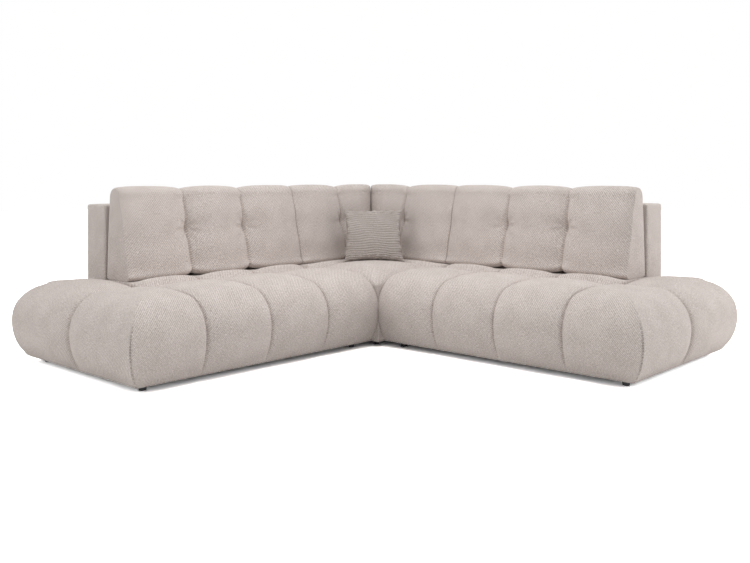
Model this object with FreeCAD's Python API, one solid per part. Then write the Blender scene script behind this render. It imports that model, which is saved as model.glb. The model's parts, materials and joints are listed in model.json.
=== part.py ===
import FreeCAD, Part
import math
import os

# A free-standing corner sofa: two equal wings meet a square corner seat. All sizes are in millimetres.
# The wings are drawn once, for the right wing: s runs along the wing away from the inner corner,
# b runs from the seat front to the back, z is up. The left wing is its mirror image.

V = FreeCAD.Vector

# Plan
PUFF_WIDTH = 376.25
WING_PUFFS = 4
ROW_DEPTH = 530.0
WING_LENGTH = PUFF_WIDTH * WING_PUFFS
SEAT_DEPTH = 2 * ROW_DEPTH
BACK_LENGTH = PUFF_WIDTH * (WING_PUFFS - 1)

# Heights of the seat
FOOT_HEIGHT = 22.0
LINING_THICK = 8.0
HEM_Z = FOOT_HEIGHT + LINING_THICK
RAIL_HEIGHT = 120.0
DECK_Z = HEM_Z + RAIL_HEIGHT
BELLY_Z = 215.0
CAVITY_TOP_Z = 330.0
LEDGE_Z = 360.0
TUFT_Z = 374.0
SHELF_Z = 400.0
SEAM_Z = 394.0
CREST_Z = 419.0

# Form of a seat puff
HEM_TUCK = 55.0
SWELL = 30.0
SHOULDER_RUN = 120.0
SHOULDER_SEAM_Z = 380.0
SHOULDER_CREST_Z = 407.0
TUFT_FULLNESS = 5.0
SHELF_RISE = 45.0
ROUNDING_MARGIN = 15.0
ROUNDING_HEADROOM = 75.0

# Rear of the open end: its second puff is lower and rounds over to a full belly
REAR_SHOULDER_RUN = 97.5
REAR_SHOULDER_DROP = 20.0
REAR_CREST_DROP = 6.0
REAR_BELLY_Z = 275.0

# Edges of the corner seat at its two joints
CORNER_SEAM_EDGE_DROP = 25.0
CORNER_CREST_EDGE_DROP = 10.0
CORNER_EDGE_RUN = 12.0
CORNER_SHOULDER_RUN = 60.0
CORNER_SHOULDER_DROP = 8.0

# Upholstery around the seat frame
FRONT_WALL = 80.0
REAR_WALL = 30.0
JOINT_WALL = 25.0

# Timber, straps and fixings of the seat
RAIL_THICK = 28.0
CROSS_RAIL_DROP = 30.0
BLOCK_SIZE = 80.0
BLOCK_HEIGHT = 30.0
STRAP_WIDTH = 60.0
STRAP_THICK = 2.0
STRAP_PITCH = 150.0
LINING_INSET = 6.0
FOOT_R = 20.0
FOOT_FROM_FRONT = 125.0
FOOT_FROM_JOINT = 80.0
PLATE_THICK = 6.0
PLATE_HEIGHT = 50.0
PLATE_Z = 75.0
PLATE_HOOK = 14.0
PLATE_HOOK_DROP = 18.0
PLATE_FROM_FRONT = 300.0
PLATE_SPACING = 460.0

# Back panels
PANEL_THICK = 180.0
PANEL_TOP_Z = 778.0
PANEL_WALL = 16.0
PANEL_EDGE_R = 12.0
PANEL_END_GAP = 2.0
POST_WIDTH = 45.0
PANEL_RAIL_HEIGHT = 28.0
TONGUE_WIDTH = 40.0
TONGUE_THICK = 6.0
TONGUE_LENGTH = 90.0
TONGUE_INSET = 180.0

# Loose back cushions
CUSHION_TOP_Z = 880.0
CUSHION_PUFFS = 3
CUSHION_PAST_JOINT = 50.25
CUSHION_END_INSET = 9.0
CUSHION_PUFF = (BACK_LENGTH - CUSHION_END_INSET + CUSHION_PAST_JOINT) / CUSHION_PUFFS
CORNER_PUFF = 395.0
CUSHION_GAP = 4.0
CUSHION_REAR_GAP = 2.0
CUSHION_FOOT_DEPTH = 202.0
CUSHION_WAIST_DEPTH = 143.0
CUSHION_HEAD_DEPTH = 112.0
CUSHION_REAR_LEAN = 32.0
CUSHION_WAIST_Z = 635.0
CUSHION_SWELL = 34.0
CUSHION_HEAD_SWELL = 20.0
CUSHION_ROLL = 26.0
CUSHION_FOOT_SET_BACK = 16.0
CUSHION_SIDE_BOW = 8.0
CUSHION_SEAM_DROP = 14.0
CUSHION_HEAD_RISE = 55.0
HEAD_FACETS = 6
CORE_WALL = 40.0
CORE_FRONT_WALL = 64.0
CORE_HEAD_WALL = 80.0

# Scatter pillow
PILLOW_SIDE = 366.0
PILLOW_THICK = 128.0
PILLOW_EDGE = 10.0
PILLOW_DRAW_IN = 13.0
PILLOW_LEAN = 27.0
PILLOW_FROM_CORNER = 430.0
PILLOW_START_Z = 480.0
PAD_SIDE = 260.0
PAD_THICK = 76.0

# Clearances
SEAT_GAP = 0.3
HOLE_GAP = 0.5

# The sofa stands centred on the origin, with its floor at z = 0
CENTRE_SHIFT = (SEAT_DEPTH - WING_LENGTH - SWELL) / 2


def segment_edges(points):
    """Edges through a list of corner points; a pair of points in the list is an arc's middle and end."""
    edges = []
    start = points[0]
    for item in points[1:]:
        if isinstance(item, tuple):
            edges.append(Part.Arc(start, item[0], item[1]).toShape())
            start = item[1]
        else:
            edges.append(Part.LineSegment(start, item).toShape())
            start = item
    return edges


def closed_wire(points):
    """A closed wire that returns to its first point in a straight line."""
    return Part.Wire(segment_edges(points + [points[0]]))


def loft(wires):
    """A solid through closed wires."""
    return Part.makeLoft(wires, True, True)


def box(s0, s1, b0, b1, z0, z1):
    """A box between two corners."""
    return Part.makeBox(s1 - s0, b1 - b0, z1 - z0, V(s0, b0, z0))


def joined(shapes):
    """One solid from overlapping or touching shapes."""
    whole = shapes[0].fuse(shapes[1:])
    return whole.removeSplitter()


def blend(low, high, share):
    """A value between two others."""
    return low + (high - low) * share


def steep_arc(foot, tip):
    """Middle of the arc that leaves foot straight up or down and ends at tip, in outline axes."""
    run = tip[0] - foot[0]
    rise = tip[1] - foot[1]
    radius = (run * run + rise * rise) / (2 * abs(run))
    half_turn = math.asin(min(1.0, abs(rise) / radius)) / 2
    middle_run = math.copysign(radius * (1 - math.cos(half_turn)), run)
    middle_rise = math.copysign(radius * math.sin(half_turn), rise)
    return foot[0] + middle_run, foot[1] + middle_rise


def face_points(fullness):
    """Outline of a puffed face from hem to shoulder: inset from the seam plane, then height."""
    belly = (-SWELL * fullness, BELLY_Z)
    hem = (HEM_TUCK, HEM_Z)
    shoulder_z = blend(SHOULDER_SEAM_Z, SHOULDER_CREST_Z, fullness)
    shoulder = (SHOULDER_RUN, shoulder_z)
    hem_middle = steep_arc(belly, hem)
    shoulder_middle = steep_arc(belly, shoulder)
    return hem, hem_middle, belly, shoulder_middle, shoulder


def top_points(fullness):
    """Top of a front puff, from its shoulder to the tuft row."""
    middle = (blend(SHOULDER_RUN, ROW_DEPTH, 0.5), blend(SEAM_Z, CREST_Z, fullness))
    return middle, (ROW_DEPTH, TUFT_Z + TUFT_FULLNESS * fullness)


def seat_outline(fullness, rear):
    """Whole seat outline across the wing; rear lists the points behind the tuft row."""
    hem, hem_middle, belly, shoulder_middle, shoulder = face_points(fullness)
    top_middle, tuft = top_points(fullness)
    return [hem, (hem_middle, belly), (shoulder_middle, shoulder), (top_middle, tuft)] + rear


def shelf_rear():
    """Rear of a seat column that carries the cushions and the back panel."""
    shelf_front = (ROW_DEPTH + SHELF_RISE, SHELF_Z)
    rise_middle = (ROW_DEPTH + SHELF_RISE * 0.4, blend(TUFT_Z, SHELF_Z, 0.7))
    panel_front = SEAT_DEPTH - PANEL_THICK
    return [
        (rise_middle, shelf_front),
        (panel_front, SHELF_Z),
        (panel_front, LEDGE_Z),
        (SEAT_DEPTH, LEDGE_Z),
        (SEAT_DEPTH, HEM_Z),
    ]


def open_rear(fullness):
    """Rear of the open end column: a second puff that rounds over at the back."""
    height = blend(SEAM_Z, CREST_Z, fullness)
    back_shoulder = (SEAT_DEPTH - REAR_SHOULDER_RUN, height - REAR_SHOULDER_DROP)
    back_belly = (SEAT_DEPTH, REAR_BELLY_Z)
    crest = (blend(ROW_DEPTH, SEAT_DEPTH, 0.46), height - REAR_CREST_DROP)
    return [
        (crest, back_shoulder),
        (steep_arc(back_belly, back_shoulder), back_belly),
        (SEAT_DEPTH, HEM_Z),
    ]


def across(s, outline):
    """A wire across the wing at s."""
    def at(point):
        return V(s, point[0], point[1])
    return closed_wire([(at(p[0]), at(p[1])) if isinstance(p[0], tuple) else at(p) for p in outline])


PUFF_STATIONS = ((0.0, 0.0), (0.2, 1.0), (0.8, 1.0), (1.0, 0.0))
OPEN_STATIONS = PUFF_STATIONS[:2] + ((1.15, 1.0),)


def seat_column(index):
    """One column of puffs under a back cushion."""
    wires = []
    for place, fullness in PUFF_STATIONS:
        s = PUFF_WIDTH * (index + place)
        wires.append(across(s, seat_outline(fullness, shelf_rear())))
    return loft(wires)


def end_row(b0, b1, stations):
    """One row of the open end's rounding: the puffed face turned to look along the wing."""
    inner = BACK_LENGTH - SWELL
    below = HEM_Z - ROUNDING_MARGIN
    above = CREST_Z + ROUNDING_HEADROOM
    wires = []
    for place, fullness in stations:
        hem, hem_middle, belly, shoulder_middle, shoulder = face_points(fullness)
        radius = ((hem[0] - belly[0]) ** 2 + (BELLY_Z - HEM_Z) ** 2) / (2 * (hem[0] - belly[0]))
        low_inset = belly[0] + radius - math.sqrt(radius ** 2 - (BELLY_Z - below) ** 2)
        slope = math.tan(2 * math.atan2(shoulder_middle[0] - belly[0], shoulder_middle[1] - belly[1]))
        lid_inset = shoulder[0] + (above - shoulder[1]) * slope
        b = blend(b0, b1, place)

        def at(inset, z, b=b):
            return V(WING_LENGTH - inset, b, z)
        points = [
            at(low_inset, below),
            (at(*hem_middle), at(*belly)),
            (at(*shoulder_middle), at(*shoulder)),
            at(lid_inset, above),
            V(inner, b, above),
            V(inner, b, below),
        ]
        wires.append(closed_wire(points))
    return loft(wires)


FRONT_ROW_STATIONS = ((-0.15, 1.0),) + PUFF_STATIONS[2:]


def open_end_column():
    """The puffs at the open end: rounded to the front and to the end, with one seam on the end face."""
    wires = []
    for place, fullness in OPEN_STATIONS:
        s = PUFF_WIDTH * (WING_PUFFS - 1 + place)
        wires.append(across(s, seat_outline(fullness, open_rear(fullness))))
    along = loft(wires)
    front_row = end_row(0, ROW_DEPTH, FRONT_ROW_STATIONS)
    rear_row = end_row(ROW_DEPTH, SEAT_DEPTH, OPEN_STATIONS)
    return along.common(front_row.fuse(rear_row))


def corner_form():
    """Square corner seat: one large puff at the inner corner and flat under the cushions."""
    near = []
    for place, fullness in PUFF_STATIONS:
        near.append(across(-ROW_DEPTH * (1 - place), corner_outline(fullness)))
    far = box(-SEAT_DEPTH, -ROW_DEPTH, 0, SEAT_DEPTH, HEM_Z, SHELF_Z)
    panel_front = SEAT_DEPTH - PANEL_THICK
    back_ledge = box(-SEAT_DEPTH - 1, 1, panel_front, SEAT_DEPTH + 1, LEDGE_Z, CREST_Z)
    side_ledge = box(-SEAT_DEPTH - 1, -panel_front, -1, SEAT_DEPTH + 1, LEDGE_Z, CREST_Z)
    return joined([loft(near), far]).cut([back_ledge, side_ledge])


def corner_outline(fullness):
    """Outline of the corner seat across its joint with the left wing."""
    edge_z = TUFT_Z - blend(CORNER_SEAM_EDGE_DROP, CORNER_CREST_EDGE_DROP, fullness)
    edge_middle = (CORNER_EDGE_RUN, blend(edge_z, TUFT_Z, 0.75))
    shoulder_z = blend(SEAM_Z, CREST_Z, fullness * 0.4) - CORNER_SHOULDER_DROP
    shoulder = (CORNER_SHOULDER_RUN, shoulder_z)
    middle = (blend(0, ROW_DEPTH, 0.52), blend(SEAM_Z, CREST_Z, fullness))
    tuft = (ROW_DEPTH, TUFT_Z + TUFT_FULLNESS * fullness)
    return [(0, HEM_Z), (0, edge_z), (edge_middle, shoulder), (middle, tuft)] + shelf_rear()


def mirrored(shape):
    """The same piece for the other wing."""
    return shape.mirror(V(0, 0, 0), V(1, 1, 0))


class SeatFrame:
    """Timber frame, straps and foam inside one seat, between its four cavity walls."""

    def __init__(self, s0, s1, b0, b1, tall_side):
        self.s0 = s0
        self.s1 = s1
        self.b0 = b0
        self.b1 = b1
        self.tall_side = tall_side

    def cavity(self):
        return box(self.s0, self.s1, self.b0, self.b1, HEM_Z - 5, CAVITY_TOP_Z)

    def long_rails(self):
        front = box(self.s0, self.s1, self.b0, self.b0 + RAIL_THICK, HEM_Z, DECK_Z)
        rear = box(self.s0, self.s1, self.b1 - RAIL_THICK, self.b1, HEM_Z, CAVITY_TOP_Z)
        return [front, rear]

    def end_rails(self):
        b0 = self.b0 + RAIL_THICK
        b1 = self.b1 - RAIL_THICK
        low_top = CAVITY_TOP_Z if self.tall_side else DECK_Z
        return [
            box(self.s0, self.s0 + RAIL_THICK, b0, b1, HEM_Z, low_top),
            box(self.s1 - RAIL_THICK, self.s1, b0, b1, HEM_Z, DECK_Z),
        ]

    def cross_rails(self, count):
        span = self.s1 - self.s0
        rails = []
        for index in range(count):
            middle = self.s0 + span * (index + 1) / (count + 1)
            rails.append(box(middle - RAIL_THICK / 2, middle + RAIL_THICK / 2,
                             self.b0 + RAIL_THICK, self.b1 - RAIL_THICK,
                             HEM_Z + CROSS_RAIL_DROP, DECK_Z))
        return rails

    def corner_blocks(self):
        blocks = []
        for s in (self.s0 + RAIL_THICK, self.s1 - RAIL_THICK - BLOCK_SIZE):
            for b in (self.b0 + RAIL_THICK, self.b1 - RAIL_THICK - BLOCK_SIZE):
                blocks.append(box(s, s + BLOCK_SIZE, b, b + BLOCK_SIZE, HEM_Z, HEM_Z + BLOCK_HEIGHT))
        return blocks

    def strap_places(self, low, high):
        count = int((high - low - STRAP_WIDTH) / STRAP_PITCH) + 1
        start = (low + high - STRAP_PITCH * (count - 1)) / 2
        return [start + STRAP_PITCH * index for index in range(count)]

    def inner_s0(self):
        return self.s0 + (RAIL_THICK if self.tall_side else 0)

    def straps_across(self):
        half = STRAP_WIDTH / 2
        places = self.strap_places(self.inner_s0() + RAIL_THICK, self.s1 - RAIL_THICK)
        return [box(s - half, s + half, self.b0, self.b1 - RAIL_THICK, DECK_Z, DECK_Z + STRAP_THICK)
                for s in places]

    def straps_along(self):
        half = STRAP_WIDTH / 2
        low = DECK_Z + STRAP_THICK
        places = self.strap_places(self.b0 + RAIL_THICK, self.b1 - 2 * RAIL_THICK)
        return [box(self.inner_s0(), self.s1, b - half, b + half, low, low + STRAP_THICK) for b in places]

    def foam(self):
        return box(self.inner_s0(), self.s1, self.b0, self.b1 - RAIL_THICK,
                   DECK_Z + 2 * STRAP_THICK, CAVITY_TOP_Z)


def slotted(solids, slots):
    """Solids with the same slots cut out of each."""
    return [solid.cut(slots) for solid in solids]


def seat_nodes(form, frame, cross_rails, lining_box, feet, slots):
    """All pieces of one seat, by the last part of their names."""
    cover = form.cut(frame.cavity())
    return {
        "cover": slotted([cover], slots),
        "foam": [frame.foam()],
        "straps_along": frame.straps_along(),
        "straps_across": frame.straps_across(),
        "long_rails": slotted(frame.long_rails(), slots),
        "end_rails": slotted(frame.end_rails(), slots),
        "cross_rails": frame.cross_rails(cross_rails),
        "corner_blocks": frame.corner_blocks(),
        "lining": [box(*lining_box, FOOT_HEIGHT, HEM_Z)],
        "feet": [Part.makeCylinder(FOOT_R, FOOT_HEIGHT, V(s, b, 0)) for s, b in feet],
    }


def joining_plate(b, spare):
    """Flat steel plate through two upholstered sides and two end rails, hooked down behind each rail."""
    reach = JOINT_WALL + RAIL_THICK + spare
    tip = reach + PLATE_HOOK + spare
    top = PLATE_Z + PLATE_HEIGHT + spare
    low = PLATE_Z - spare
    drop = low - PLATE_HOOK_DROP
    half = PLATE_THICK / 2 + spare
    outline = [V(-tip, b - half, top), V(tip, b - half, top), V(tip, b - half, drop), V(reach, b - half, drop),
               V(reach, b - half, low), V(-reach, b - half, low), V(-reach, b - half, drop),
               V(-tip, b - half, drop)]
    return Part.Face(closed_wire(outline)).extrude(V(0, 2 * half, 0))


def joining_plates(spare):
    """Both plates of a joint; with spare room they are the slots that hold them."""
    return [joining_plate(PLATE_FROM_FRONT + PLATE_SPACING * index, spare) for index in range(2)]


def panel_tongues(s0, s1, spare):
    """Steel tongues that drop from a back panel's bottom rail through the seat cover into its rear rail."""
    top = LEDGE_Z + PANEL_RAIL_HEIGHT + spare
    middle_b = SEAT_DEPTH - REAR_WALL - RAIL_THICK / 2
    half_width = TONGUE_WIDTH / 2 + spare
    half_thick = TONGUE_THICK / 2 + spare
    tongues = []
    for s in (s0 + TONGUE_INSET, s1 - TONGUE_INSET):
        tongues.append(box(s - half_width, s + half_width, middle_b - half_thick, middle_b + half_thick,
                           top - TONGUE_LENGTH - 2 * spare, top))
    return tongues


def back_nodes(s0, s1):
    """All pieces of one upholstered back panel between two ends."""
    b0 = SEAT_DEPTH - PANEL_THICK
    b1 = SEAT_DEPTH
    inner_s0 = s0 + PANEL_WALL
    inner_s1 = s1 - PANEL_WALL
    inner_b0 = b0 + PANEL_WALL
    inner_b1 = b1 - PANEL_WALL
    inner_top = PANEL_TOP_Z - PANEL_WALL
    outer = box(s0, s1, b0, b1, LEDGE_Z, PANEL_TOP_Z)
    top_edges = [edge for edge in outer.Edges if edge.BoundBox.ZMin > PANEL_TOP_Z - 1]
    cover = outer.makeFillet(PANEL_EDGE_R, top_edges)
    cover = cover.cut(box(inner_s0, inner_s1, inner_b0, inner_b1, LEDGE_Z - 5, inner_top))
    post_low = LEDGE_Z + PANEL_RAIL_HEIGHT
    post_high = inner_top - PANEL_RAIL_HEIGHT
    middle = (s0 + s1) / 2
    posts = []
    for start in (inner_s0, middle - POST_WIDTH / 2, inner_s1 - POST_WIDTH):
        posts.append(box(start, start + POST_WIDTH, inner_b0, inner_b1, post_low, post_high))
    bottom = box(inner_s0, inner_s1, inner_b0, inner_b1, LEDGE_Z, post_low)
    top = box(inner_s0, inner_s1, inner_b0, inner_b1, post_high, inner_top)
    return {
        "cover": [cover],
        "posts": posts,
        "rails": slotted([bottom], panel_tongues(s0, s1, HOLE_GAP)) + [top],
        "tongues": panel_tongues(s0, s1, 0),
    }


def cushion_rear():
    """Depth of a back cushion's foot against the panel."""
    return SEAT_DEPTH - PANEL_THICK - CUSHION_REAR_GAP


def cushion_outline(fullness, head_drop):
    """Outline of a back cushion: a deep foot, a waist drawn in by the tuft, and a rounded head."""
    low = SHELF_Z + SEAT_GAP
    rear = cushion_rear()
    head_rear = rear - CUSHION_REAR_LEAN
    top = CUSHION_TOP_Z - head_drop
    foot_front = rear - CUSHION_FOOT_DEPTH - CUSHION_SWELL * fullness
    waist_front = rear - CUSHION_WAIST_DEPTH - CUSHION_HEAD_SWELL * fullness
    head_front = rear - CUSHION_HEAD_DEPTH - CUSHION_HEAD_SWELL * fullness
    roll = CUSHION_ROLL
    foot_top = (foot_front + CUSHION_FOOT_SET_BACK, low + 2 * roll)
    lower_middle_z = blend(foot_top[1], CUSHION_WAIST_Z, 0.5)
    lower_middle = blend(foot_top[0], waist_front, 0.5) - CUSHION_SIDE_BOW * (0.25 + fullness)
    head_z = top - CUSHION_HEAD_RISE
    upper_middle = blend(waist_front, head_front, 0.5) - CUSHION_SIDE_BOW * (1 + fullness / 2)
    head = []
    for step in range(1, HEAD_FACETS + 1):
        angle = math.pi * step / HEAD_FACETS
        head.append((blend(head_front, head_rear, (1 - math.cos(angle)) / 2),
                     head_z + (top - head_z) * math.sin(angle)))
    return [
        (foot_front + roll, low),
        ((foot_front + roll / 6, low + roll * 0.8), foot_top),
        ((lower_middle, lower_middle_z), (waist_front, CUSHION_WAIST_Z)),
        ((upper_middle, blend(CUSHION_WAIST_Z, head_z, 0.5)), (head_front, head_z)),
        *head,
        (rear - roll / 4, low + roll),
        ((rear - roll / 3, low + roll / 4), (rear - roll, low)),
    ]


def cushion_puff(s0, s1):
    """One puff of a back cushion between two seams."""
    wires = []
    for place, fullness in PUFF_STATIONS:
        drop = CUSHION_SEAM_DROP * (1 - fullness)
        wires.append(across(blend(s0, s1, place), cushion_outline(fullness, drop)))
    return loft(wires)


def cushion_core(s0, s1):
    """Foam core of a back cushion, set inside its quilted cover."""
    low = SHELF_Z + SEAT_GAP + CORE_WALL
    rear = cushion_rear() - CORE_WALL / 2
    front = cushion_rear() - CUSHION_FOOT_DEPTH + CORE_FRONT_WALL
    waist = cushion_rear() - CUSHION_WAIST_DEPTH + CORE_WALL
    top = CUSHION_TOP_Z - CORE_HEAD_WALL
    head_rear = rear - CUSHION_REAR_LEAN * (top - low) / (CUSHION_TOP_Z - SHELF_Z)
    outline = [(front, low), (rear, low), (head_rear, top), (waist, top), (waist, CUSHION_WAIST_Z)]
    wire = across(s0 + CORE_WALL, outline)
    return Part.Face(wire).extrude(V(s1 - s0 - 2 * CORE_WALL, 0, 0))


def main_cushion():
    """Cover and core of the three-puff cushion of a wing."""
    end = BACK_LENGTH - CUSHION_END_INSET
    start = -CUSHION_PAST_JOINT
    puffs = []
    for index in range(CUSHION_PUFFS):
        first = start + CUSHION_PUFF * index
        puffs.append(cushion_puff(first, first + CUSHION_PUFF))
    core = cushion_core(start, end)
    return {"cover": [joined(puffs).cut(core)], "core": [core]}


def corner_cushion():
    """Cover and core of a corner cushion, mitred where it meets its twin."""
    end = -CUSHION_PAST_JOINT - CUSHION_GAP
    reach = SEAT_DEPTH
    near = cushion_puff(end - CORNER_PUFF, end)
    far = cushion_puff(end - 2 * CORNER_PUFF, end - CORNER_PUFF)
    half = math.sqrt(0.5)
    gap = CUSHION_GAP / 2 / half
    keep = Part.Face(closed_wire([
        V(-reach + gap, reach, SHELF_Z - 50),
        V(reach, reach, SHELF_Z - 50),
        V(reach, 0, SHELF_Z - 50),
        V(gap, 0, SHELF_Z - 50),
    ])).extrude(V(0, 0, CUSHION_TOP_Z))
    body = joined([near, far]).common(keep)
    core_keep = keep.translated(V(CORE_WALL / half, 0, 0))
    core = cushion_core(end - 2 * CORNER_PUFF, end).common(core_keep)
    return {"cover": [body.cut(core)], "core": [core]}


PILLOW_STATIONS = (-1.0, -0.55, 0.55, 1.0)


def pillow_lens(x, half_height, bulge):
    """Outline of two arcs, upright across the pillow at x."""
    tips = [(0, -half_height), (-bulge, 0), (0, half_height), (bulge, 0), (0, -half_height)]
    edges = []
    for start, end in zip(tips, tips[1:]):
        belly = start if start[1] == 0 else end
        tip = end if start[1] == 0 else start
        middle = steep_arc(belly, tip)
        edges.append(Part.Arc(V(x, *start), V(x, *middle), V(x, *end)).toShape())
    return Part.Wire(edges)


def pillow_wires(side, thick, edge, draw_in):
    """Lens outlines across the pillow, drawn in at the middle of each side so that its corners stand out."""
    wires = []
    for share in PILLOW_STATIONS:
        x = (side / 2 - draw_in * (1 - abs(share) ** 6)) * share
        half_height = side / 2 - draw_in * (1 - share * share)
        bulge = edge / 2 + (thick - edge) / 2 * math.sqrt(max(0.0, 1 - share * share)) ** 1.1
        wires.append(pillow_lens(x, half_height, bulge))
    return wires


def pillow():
    """Scatter pillow, leaning back towards the corner."""
    cover = loft(pillow_wires(PILLOW_SIDE, PILLOW_THICK, PILLOW_EDGE, PILLOW_DRAW_IN))
    lens = pillow_lens(-PAD_SIDE / 2, PAD_SIDE / 2, PAD_THICK / 2)
    pad = Part.Face(lens).extrude(V(PAD_SIDE, 0, 0))
    shapes = []
    for shape in (cover.cut(pad), pad):
        shape.rotate(V(0, 0, 0), V(1, 0, 0), -PILLOW_LEAN)
        shape.rotate(V(0, 0, 0), V(0, 0, 1), 45)
        shape.translate(V(-PILLOW_FROM_CORNER, PILLOW_FROM_CORNER, PILLOW_START_Z + PILLOW_SIDE / 2))
        shapes.append(shape)
    return shapes


def lowered_onto(shapes, seat):
    """Shapes moved down together until the first one lies a seating gap above the seat."""
    drop = 0.0
    for _ in range(6):
        gap = shapes[0].translated(V(0, 0, -drop)).distToShape(seat)[0]
        drop += gap - SEAT_GAP
        if gap < 1.5 * SEAT_GAP:
            break
    return [shape.translated(V(0, 0, -drop)) for shape in shapes]


def wing_feet():
    """Foot centres of a wing."""
    return [(s, b) for s in (FOOT_FROM_JOINT, WING_LENGTH - FOOT_FROM_FRONT)
            for b in (FOOT_FROM_FRONT, SEAT_DEPTH - FOOT_FROM_JOINT)]


def corner_feet():
    """Foot centres of the corner seat."""
    return [(s, b) for s in (-SEAT_DEPTH + FOOT_FROM_JOINT, -FOOT_FROM_JOINT)
            for b in (FOOT_FROM_JOINT, SEAT_DEPTH - FOOT_FROM_JOINT)]


def wing_seat():
    """Right wing seat."""
    form = joined([seat_column(index) for index in range(WING_PUFFS - 1)] + [open_end_column()])
    frame = SeatFrame(JOINT_WALL, WING_LENGTH - FRONT_WALL, FRONT_WALL, SEAT_DEPTH - REAR_WALL, False)
    lining = (LINING_INSET, WING_LENGTH - HEM_TUCK - LINING_INSET, HEM_TUCK + LINING_INSET,
              SEAT_DEPTH - LINING_INSET)
    slots = joining_plates(HOLE_GAP) + panel_tongues(PANEL_END_GAP, BACK_LENGTH - PANEL_END_GAP, HOLE_GAP)
    return seat_nodes(form, frame, 2, lining, wing_feet(), slots)


def corner_seat():
    """Square corner seat."""
    frame = SeatFrame(-SEAT_DEPTH + REAR_WALL, -JOINT_WALL, JOINT_WALL, SEAT_DEPTH - REAR_WALL, True)
    lining = (-SEAT_DEPTH + LINING_INSET, -LINING_INSET, LINING_INSET, SEAT_DEPTH - LINING_INSET)
    right_plates = joining_plates(HOLE_GAP)
    left_plates = [mirrored(plate) for plate in right_plates]
    back_tongues = panel_tongues(-SEAT_DEPTH + PANEL_THICK, -PANEL_END_GAP, HOLE_GAP)
    side_tongues = [mirrored(tongue) for tongue in panel_tongues(-SEAT_DEPTH, -PANEL_END_GAP, HOLE_GAP)]
    slots = right_plates + left_plates + back_tongues + side_tongues
    return seat_nodes(corner_form(), frame, 1, lining, corner_feet(), slots)


def save(name, solids):
    """One file for a node, moved so that the sofa stands centred on the origin."""
    shape = solids[0] if len(solids) == 1 else Part.makeCompound(solids)
    placed = shape.translated(V(CENTRE_SHIFT, -CENTRE_SHIFT, 0))
    placed.exportStep("parts/" + name + ".step")


def save_group(prefix, pieces):
    for name, solids in pieces.items():
        save(prefix + name, solids)


def save_pair(name, pieces):
    """The right piece and its mirror image on the left."""
    save_group("right_" + name, pieces)
    save_group("left_" + name, {key: [mirrored(solid) for solid in solids]
                                for key, solids in pieces.items()})


def main():
    os.makedirs("parts", exist_ok=True)
    save_pair("seat_", wing_seat())
    corner = corner_seat()
    save_group("corner_seat_", corner)
    save_pair("", {"joining_plates": joining_plates(0)})
    save_pair("back_", back_nodes(PANEL_END_GAP, BACK_LENGTH - PANEL_END_GAP))
    save_group("corner_right_back_", back_nodes(-SEAT_DEPTH + PANEL_THICK, -PANEL_END_GAP))
    side_back = back_nodes(-SEAT_DEPTH, -PANEL_END_GAP)
    save_group("corner_left_back_", {key: [mirrored(solid) for solid in solids]
                                     for key, solids in side_back.items()})
    save_pair("cushion_", main_cushion())
    save_pair("corner_cushion_", corner_cushion())
    cover, pad = lowered_onto(pillow(), corner["cover"][0])
    save("pillow_cover", [cover])
    save("pillow_filling", [pad])


main()
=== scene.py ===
import json
import math

import bpy
import numpy as np
from bpy.props import FloatProperty, FloatVectorProperty, IntProperty, PointerProperty
from mathutils import Matrix, Vector


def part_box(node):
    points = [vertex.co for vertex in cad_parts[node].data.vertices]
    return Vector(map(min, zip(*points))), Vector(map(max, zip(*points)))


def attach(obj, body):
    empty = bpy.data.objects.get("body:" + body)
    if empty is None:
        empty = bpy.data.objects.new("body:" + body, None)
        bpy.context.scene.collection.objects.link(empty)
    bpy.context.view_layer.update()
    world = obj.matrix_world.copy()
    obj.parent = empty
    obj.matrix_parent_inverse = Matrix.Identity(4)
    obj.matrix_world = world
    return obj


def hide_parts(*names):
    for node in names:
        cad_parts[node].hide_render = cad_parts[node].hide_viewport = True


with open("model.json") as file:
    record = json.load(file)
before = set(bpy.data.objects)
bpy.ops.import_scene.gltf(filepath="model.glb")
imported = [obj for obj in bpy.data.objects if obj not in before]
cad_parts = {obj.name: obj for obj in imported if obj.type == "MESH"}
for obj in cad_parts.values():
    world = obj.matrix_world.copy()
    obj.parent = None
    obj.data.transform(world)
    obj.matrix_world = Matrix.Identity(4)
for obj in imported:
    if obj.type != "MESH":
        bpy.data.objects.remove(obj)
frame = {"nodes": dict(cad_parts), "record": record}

bl_info = {
    "name": "Quilted corner sofa",
    "version": (1, 0, 0),
    "blender": (4, 5, 0),
    "location": "3D Viewport > Sidebar > Sofa",
    "description": "Upholstery, loose cushions and finishes of a quilted corner sofa",
    "category": "Object",
}

# The wings are drawn in wing coordinates, in metres: s runs along the wing away from the inner
# corner, b from the seat front to the back, z up. The left wing is the mirror image of the right.
SEAT_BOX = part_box("right_seat_cover")
PANEL_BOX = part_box("right_back_cover")
CUSHION_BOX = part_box("right_cushion_cover")
INNER_X = SEAT_BOX[0].x
INNER_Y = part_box("left_seat_cover")[1].y
HEM_Z = SEAT_BOX[0].z
LEDGE_Z, PANEL_TOP_Z = (corner.z for corner in PANEL_BOX)
PANEL_FRONT, SEAT_DEPTH = (corner.y - INNER_Y for corner in PANEL_BOX)
CUSHION_LOW_Z, CUSHION_TOP_Z = (corner.z for corner in CUSHION_BOX)
CUSHION_START, CUSHION_END = (corner.x - INNER_X for corner in CUSHION_BOX)
CUSHION_REAR = CUSHION_BOX[1].y - INNER_Y


def metres(name, description, default):
    return FloatProperty(name=name, description=description, default=default, unit="LENGTH")


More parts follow.
